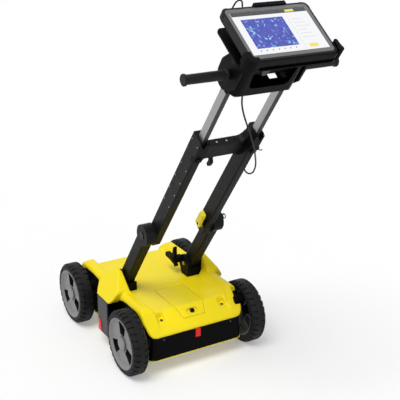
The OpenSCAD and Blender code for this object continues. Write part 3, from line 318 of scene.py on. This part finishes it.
# One look for each material slot
YELLOW = (0.95, 0.76, 0.011)
looks = {
    "cover_yellow": moulded("cover_yellow", YELLOW, 0.36,
                            grain=1300.0, depth=0.05, shade=0.97, wear_and_highlight=0.04, spec=0.2, soft=0.006),
    "skid_yellow": moulded("skid_yellow", (0.95, 0.78, 0.03), 0.45,
                           grain=900.0, depth=0.15, shade=0.92, wear_and_highlight=0.15),
    "lever_yellow": moulded("lever_yellow", YELLOW, 0.35,
                            grain=1300.0, depth=0.06, shade=0.95, wear_and_highlight=0.06, spec=0.4),
    "housing_black": moulded("housing_black", (0.0015, 0.0015, 0.0018), 0.26,
                             grain=1200.0, depth=0.03, shade=0.85, wear_and_highlight=0.0, spec=0.05),
    "panel_grey": moulded("panel_grey", (0.065, 0.066, 0.07), 0.5,
                          grain=1800.0, depth=0.2, shade=0.85, wear_and_highlight=0.06, spec=0.3),
    "marker_red": moulded("marker_red", (0.9, 0.004, 0.005), 0.3,
                          grain=1300.0, depth=0.05, shade=0.9, wear_and_highlight=0.03, spec=0.4),
    "steel": metal("steel", (0.38, 0.385, 0.4), 0.34),
    "pin_dark": metal("pin_dark", (0.035, 0.035, 0.037), 0.42),
    "antenna_dark": moulded("antenna_dark", (0.03, 0.03, 0.032), 0.6),
    "unit_alloy": metal("unit_alloy", (0.5, 0.51, 0.53), 0.45),
    "battery_black": moulded("battery_black", (0.012, 0.012, 0.014), 0.55),
    "tyre_rubber": rubber("tyre_rubber", (0.006, 0.006, 0.0065), 0.6, dust=0.006, spec=0.18),
    # The rim's strongly paler edges are a painted highlight along its lip
    "rim_grey": moulded("rim_grey", (0.22, 0.22, 0.225), 0.34,
                        grain=1500.0, depth=0.1, shade=0.9, wear_and_highlight=0.4),
    "moulded_black": moulded("moulded_black", (0.003, 0.003, 0.0033), 0.45,
                             grain=1700.0, depth=0.2, shade=0.8, wear_and_highlight=0.015, spec=0.06),
    "arm_black": moulded("arm_black", (0.006, 0.006, 0.0064), 0.42,
                         grain=2000.0, depth=0.22, shade=0.85, wear_and_highlight=0.03, spec=0.11),
    "tube_alloy": metal("tube_alloy", (0.4, 0.395, 0.39), 0.38, lengthwise=True),
    "grip_rubber": rubber("grip_rubber", (0.008, 0.008, 0.008), 0.55),
    "tablet_case": moulded("tablet_case", (0.15, 0.15, 0.155), 0.35,
                           grain=1900.0, depth=0.1, shade=0.9, wear_and_highlight=0.05),
    "display": lit("display", (0.9, 0.9, 0.92), 0.9),
    "cable_black": rubber("cable_black", (0.006, 0.006, 0.006), 0.5),
}

# Looks of single pieces and faces that differ from their slot's
# Painted shade: a dark look for the inner tubes' rear faces, which lie in shadow
tube_rear_painted_shade = moulded("tube_rear_painted_shade", (0.022, 0.021, 0.021), 0.4,
                    grain=1800.0, depth=0.12, shade=0.85, wear_and_highlight=0.03, spec=0.3)
# Painted shade: a dark look for the walls inside the rim slots
slot_painted_shade = moulded("slot_painted_shade", (0.006, 0.006, 0.007), 0.5,
                    grain=1500.0, depth=0.1, shade=0.85, wear_and_highlight=0.02, spec=0.15)
# Painted highlight: the tilt knob and yoke are lighter than the other black mouldings so they show in the
# chin's dark hollow
knob_black_painted_lighter = moulded("knob_black_painted_lighter", (0.035, 0.035, 0.037), 0.32,
                     grain=1700.0, depth=0.15, shade=0.85, wear_and_highlight=0.05, spec=0.3)
own_look = {
    "tablet": rubber("case_edge", (0.009, 0.009, 0.0095), 0.5, dust=0.004),
    "cover_screws": metal("screw_dull", (0.09, 0.09, 0.094), 0.5),
    "tilt_knob": knob_black_painted_lighter,
    "tilt_yoke": knob_black_painted_lighter,
}
for name, ob in nodes.items():
    ob.data.materials.clear()
    ob.data.materials.append(own_look.get(name, looks[slot_of[name]]))


# Cords
def smooth_line(points, steps=6):
    """Points on one smooth curve through the given ones."""
    out = []
    count = len(points)
    for i in range(count - 1):
        p0, p1, p2, p3 = (points[max(0, min(count - 1, i + k))] for k in (-1, 0, 1, 2))
        for s in range(steps):
            u = s / steps
            out.append(0.5 * (2 * p1 + (p2 - p0) * u + (2 * p0 - 5 * p1 + 4 * p2 - p3) * u * u
                              + (3 * p1 - p0 - 3 * p2 + p3) * u ** 3))
    out.append(points[-1].copy())
    return out


def round_cord(name, line, radius, sides):
    """A closed round cord along a line."""
    bm = bmesh.new()
    rings = []
    side = None
    for i, p in enumerate(line):
        t = (line[min(i + 1, len(line) - 1)] - line[max(i - 1, 0)]).normalized()
        if side is None:
            side = t.orthogonal().normalized()
        side = (side - t * side.dot(t)).normalized()
        other = t.cross(side)
        rings.append([bm.verts.new(p + radius * (side * math.cos(a) + other * math.sin(a)))
                      for a in (2 * math.pi * k / sides for k in range(sides))])
    for a, b in zip(rings, rings[1:]):
        bridge(bm, a, b)
    bm.faces.new(list(reversed(rings[0])))
    bm.faces.new(rings[-1])
    bmesh.ops.recalc_face_normals(bm, faces=bm.faces)
    for f in bm.faces:
        f.smooth = len(f.verts) == 4
    return made(name, bm, looks["cable_black"])


# The lead leaves the console's grommet and enters the gland on the right sleeve. Each step is its share of
# the way across, its place along N in millimetres and its share of the way up
LEAD_D = 0.005
LEAD_SIDES = 16
GROMMET_X, GROMMET_T = -40.0, 982.0
GLAND_X, GLAND_T = 116.0, 626.0
LEAD_STEPS = (
    (0, -16, 1.0), (0, -16, 0.97), (0.013, -19, 0.92), (0.06, -26, 0.84), (0.165, -35, 0.74),
    (0.31, -42, 0.63), (0.474, -47, 0.51), (0.635, -50, 0.39), (0.776, -51, 0.28), (0.89, -50, 0.18),
    (0.987, -48, 0.095), (1.058, -46, 0.017), (1.096, -44, -0.05), (1.109, -41, -0.095), (1.096, -35, -0.13),
    (1.064, -27, -0.14), (1.026, -18, -0.126), (1.006, -10, -0.095), (1, -4, -0.056), (1, -2, -0.028),
    (1, -2, 0))


def lead_point(across, n, up):
    """A step of the lead in the row frame."""
    return arm(GROMMET_X + (GLAND_X - GROMMET_X) * across, n, GLAND_T + (GROMMET_T - GLAND_T) * up)


lead_line = smooth_line([lead_point(*step) for step in LEAD_STEPS])
lead = round_cord("console_lead", lead_line, LEAD_D / 2, LEAD_SIDES)
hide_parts("lead")
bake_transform(lead)

# The tablet's lead rises from the console plate, loops over the tablet's top edge and ends in its socket.
# Each step is in millimetres from a point on that edge
TAIL_D = 0.0044
TAIL_SIDES = 14
TAIL_FROM = (-86.0, FACE_N + TABLET_HALF[1], FACE_T)
TAIL_STEPS = (
    (0, -6.5, -61), (0, 0.5, -61), (-1, 7, -57), (-2, 10.5, -46), (-2, 12, -30), (-1, 13, -13), (1.5, 14, 1),
    (6, 14.5, 9), (12, 14, 11.5), (18, 12.5, 9), (22, 10.5, 1), (23.7, 8, -6), (24, 5.5, -9.7), (24, 3, -10))
tail_line = smooth_line([arm(*(f + d for f, d in zip(TAIL_FROM, step))) for step in TAIL_STEPS])
tail = round_cord("tablet_lead", tail_line, TAIL_D / 2, TAIL_SIDES)
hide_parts("tablet_tail")
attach(tail, "console")

# Display: a generic page of panels in three layers, just above the CAD display. Millimetres
DISPLAY_SUNK = 0.2
PAGE_LIFT, BLOCKS_LIFT, MARKS_LIFT = 0.15, 0.3, 0.45


def page(name, panels, lift):
    """Flat panels on the display, each (x0, n0, x1, n1, material) in millimetres from its centre."""
    bm = bmesh.new()
    used = []
    t = FACE_T - DISPLAY_SUNK + lift
    for x0, n0, x1, n1, material in panels:
        if material not in used:
            used.append(material)
        corners = [(x0, n0), (x1, n0), (x1, n1), (x0, n1)]
        f = bm.faces.new([bm.verts.new(arm(x, FACE_N + n, t)) for x, n in corners])
        f.material_index = used.index(material)
    ob = made(name, bm, *used)
    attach(ob, "console")


white = lit("page_white", (0.92, 0.93, 0.95), 0.95)
pale = lit("page_pale", (0.7, 0.72, 0.76), 0.95)
bar = lit("page_bar", (0.045, 0.048, 0.055), 0.9)
amber = lit("page_yellow", (0.85, 0.75, 0.08), 1.0)
ink = lit("page_ink", (0.1, 0.11, 0.13), 0.9)
plot = radar_plot("page_plot")
blocks = [(-118, 60, 118, 73.5, bar), (-98, -54, 32, 48, plot), (46, -66, 47.5, 50, pale)]
tabs = [(50, 62.5, 78, 71, amber), (60, -66, 88, -54, amber)]
rows = [(56, 34 - 13 * i, 84 + 7 * (i % 3), 36 - 13 * i, pale) for i in range(6)]
ticks = [(-92 + 18 * i, -64, -89 + 18 * i, -60, ink) for i in range(7)]
page("display_page", [(-118, -73, 118, 60, white)], PAGE_LIFT)
page("display_blocks", blocks, BLOCKS_LIFT)
page("display_marks", tabs + rows + ticks, MARKS_LIFT)

# Satin front of the tablet: a thin ring round the display, inside the rubber edge. Millimetres
RUBBER_EDGE = 6.0
FRONT_CORNER = 11.0
FRONT_THICK = 0.5
DISPLAY_GAP = 1.0
DISPLAY_CORNER = 1.5


def corner_line(half, grow, radius, steps=6):
    """A rectangle of the half sizes, grown by grow, with round corners of steps plus one points each."""
    points = []
    for quarter in range(4):
        cx = (half[0] + grow - radius) * (1 if quarter in (0, 3) else -1)
        cn = (half[1] + grow - radius) * (1 if quarter < 2 else -1)
        for k in range(steps + 1):
            a = math.radians(90 * (quarter + k / steps))
            points.append((cx + radius * math.cos(a), cn + radius * math.sin(a)))
    return points


outer = corner_line(TABLET_HALF, -RUBBER_EDGE, FRONT_CORNER)
inner = corner_line(DISPLAY_HALF, DISPLAY_GAP, DISPLAY_CORNER)
low, high = FACE_T, FACE_T + FRONT_THICK
bm = bmesh.new()
lines = [[bm.verts.new(arm(x, FACE_N + n, t)) for x, n in line]
         for line, t in ((outer, low), (outer, high), (inner, high), (inner, low))]
for a, b in zip(lines, lines[1:] + lines[:1]):
    bridge(bm, a, b)
bmesh.ops.recalc_face_normals(bm, faces=bm.faces)
tablet_front = made("tablet_front", bm, looks["tablet_case"])
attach(tablet_front, "console")

# Finer copies of CAD solids: rounded edges, same place and size
EDGE = 0.0012
RIM_EDGE = 0.001
HATCH_EDGE = 0.0006
EDGE_STEPS = 2
SHARP = math.radians(30.0)
FLAT = math.radians(0.8)
WELD = 2e-5
LARGE_FACES_LEAD = 90


def stand_in(node, mesh):
    """Puts a finer mesh in a CAD node's place."""
    ob = placed("fine_" + node, mesh)
    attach(ob, body_of[node])
    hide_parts(node)
    return ob


def dress(node, width=EDGE, second=None, where=None):
    """Stands a copy with rounded edges in for a solid; faces that pass the test take the second material."""
    mesh = nodes[node].data.copy()
    mesh.name = "fine_" + node
    bm = bmesh.new()
    bm.from_mesh(mesh)
    bmesh.ops.remove_doubles(bm, verts=bm.verts, dist=WELD)
    bmesh.ops.dissolve_limit(bm, angle_limit=FLAT, verts=bm.verts, edges=bm.edges)
    for f in bm.faces:
        f.smooth = True
        if second and where(f.calc_center_median(), f.normal):
            f.material_index = 1
    bm.to_mesh(mesh)
    bm.free()
    if second:
        mesh.materials.append(second)
    ob = stand_in(node, mesh)
    mod = ob.modifiers.new("round", "BEVEL")
    mod.width = width
    mod.segments = EDGE_STEPS
    mod.limit_method = "ANGLE"
    mod.angle_limit = SHARP
    even = ob.modifiers.new("even", "WEIGHTED_NORMAL")
    even.weight = LARGE_FACES_LEAD
    even.keep_sharp = True


for node in ("foot_brackets", "foot_knob", "lower_arm_left", "lower_arm_right", "sleeve_left", "sleeve_right",
             "cross_brace", "sleeve_collars", "side_plates", "chin", "tilt_yoke", "console_plate", "cradle",
             "tablet_clamp", "elbow_lever", "side_panels", "lower_housing"):
    dress(node)
dress("hatch", HATCH_EDGE)

# The cover's edges run into one another. They stay sharp within NEAR of the hatch, and are fully soft FADE
# further off
COVER_CELL = 0.0018
COVER_ROUNDS = 7
EVEN_OUT = 0.6
KEPT_FACES = 0.2
NEAR, FADE = 0.003, 0.004
hatch_low, hatch_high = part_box("hatch")


def melt(node, cell, rounds, keep_sharp):
    """Stands a copy with edges as a mould leaves them in for a solid.

    The solid is filled with cells of the given size and its skin is evened out in rounds; keep_sharp gives,
    for each vertex, how much of its place it keeps.
    """
    rough = placed("rough_" + node, nodes[node].data.copy())
    mod = rough.modifiers.new("cells", "REMESH")
    mod.mode = "VOXEL"
    mod.voxel_size = cell
    mesh = bpy.data.meshes.new_from_object(rough.evaluated_get(bpy.context.evaluated_depsgraph_get()))
    bpy.data.objects.remove(rough)
    mesh.name = "fine_" + node
    count = len(mesh.vertices)
    place = np.empty(count * 3)
    mesh.vertices.foreach_get("co", place)
    place = place.reshape(count, 3)
    ends = np.empty(len(mesh.edges) * 2, dtype=np.int64)
    mesh.edges.foreach_get("vertices", ends)
    ends = ends.reshape(-1, 2)
    neighbours = np.bincount(ends.ravel(), minlength=count)[:, None]
    free = 1.0 - keep_sharp(place)[:, None]
    for _ in range(rounds):
        total = np.zeros_like(place)
        for axis in range(3):
            total[:, axis] = (np.bincount(ends[:, 0], place[ends[:, 1], axis], count)
                              + np.bincount(ends[:, 1], place[ends[:, 0], axis], count))
        place = place + EVEN_OUT * free * (total / neighbours - place)
    mesh.vertices.foreach_set("co", place.ravel())
    mesh.shade_smooth()
    mesh.materials.clear()
    mesh.materials.append(looks[slot_of[node]])
    thin = stand_in(node, mesh).modifiers.new("fewer", "DECIMATE")
    thin.ratio = KEPT_FACES


def round_hatch(place):
    """1 at the opening for the hatch, 0 a little way off it."""
    off = np.maximum(np.array(hatch_low) - place, place - np.array(hatch_high)).max(axis=1)
    return np.clip(1.0 - (off - NEAR) / FADE, 0.0, 1.0)


melt("top_cover", COVER_CELL, COVER_ROUNDS, round_hatch)

# Rear faces of the inner tubes take a darker look: painted shade for the side that lies in shadow
REARWARD = -0.7


def faces_back(place, normal):
    """Whether a face looks to the handle's rear."""
    return normal.dot(ALONG_N) < REARWARD


for node in ("tube_left", "tube_right"):
    dress(node, second=tube_rear_painted_shade, where=faces_back)

dress("tablet")

# Walls of the rim slots take a dark look, painted shade for the slots' hollows; the slots lie between these
# two radii
HUB, WALL = 0.023, 0.0785
SIDEWAYS = 0.4


def slot_wall(centre):
    """A test for faces that line the slots of the rim round this centre."""
    def test(place, normal):
        reach = math.hypot(place.y - centre.y, place.z - centre.z)
        return abs(normal.x) < SIDEWAYS and HUB < reach < WALL
    return test


for corner in ("front_left", "front_right", "rear_left", "rear_right"):
    wheel_centre = Vector(joint_at["wheel_" + corner + "_spin"])
    dress("rim_" + corner, RIM_EDGE, second=slot_painted_shade, where=slot_wall(wheel_centre))

# The floor looks white and keeps the cart's shadow
FLOOR_HALF = 30.0
FLOOR_GLOW = 0.27
floor_look, floor_tree, floor_bsdf = shader("floor")
floor_cloud = noise(floor_tree, object_coords(floor_tree), scale=3.0, detail=2.0)
floor_tint = mixed(floor_tree, floor_cloud, (0.72, 0.72, 0.72), (0.74, 0.74, 0.74))
floor_tree.links.new(floor_tint, floor_bsdf.inputs["Base Color"])
floor_bsdf.inputs["Roughness"].default_value = 0.9
floor_bsdf.inputs["Specular IOR Level"].default_value = 0.0
floor_tree.links.new(seen(floor_tree, 0.0, FLOOR_GLOW), floor_bsdf.inputs["Emission Strength"])
floor_bsdf.inputs["Emission Color"].default_value = (1, 1, 1, 1)
bm = bmesh.new()
bmesh.ops.create_grid(bm, x_segments=2, y_segments=2, size=FLOOR_HALF)
floor = made("floor", bm, floor_look)

# The world is white to the eye and lights the cart at a plain level
WORLD_LIGHT, WORLD_SEEN = 0.37, 1.0
world = bpy.data.worlds.new("studio")
world.use_nodes = True
backdrop = world.node_tree.nodes["Background"]
backdrop.inputs["Color"].default_value = (1, 1, 1, 1)
world.node_tree.links.new(seen(world.node_tree, WORLD_LIGHT, WORLD_SEEN), backdrop.inputs["Strength"])
scene.world = world


def soft_sun(name, heading, power, spread_deg):
    """A broad lamp that shines along its heading."""
    data = bpy.data.lights.new(name, "SUN")
    data.energy = power
    data.angle = math.radians(spread_deg)
    placed(name, data).rotation_euler = facing(heading)


# The key comes from above, a little from the left and the rear, and the fill from the rear
soft_sun("key", (0.42, 0.28, -1.0), power=2.05, spread_deg=34)
soft_sun("fill", (0.2, 1.0, -0.5), power=0.35, spread_deg=60)

scene.view_settings.view_transform = "Standard"
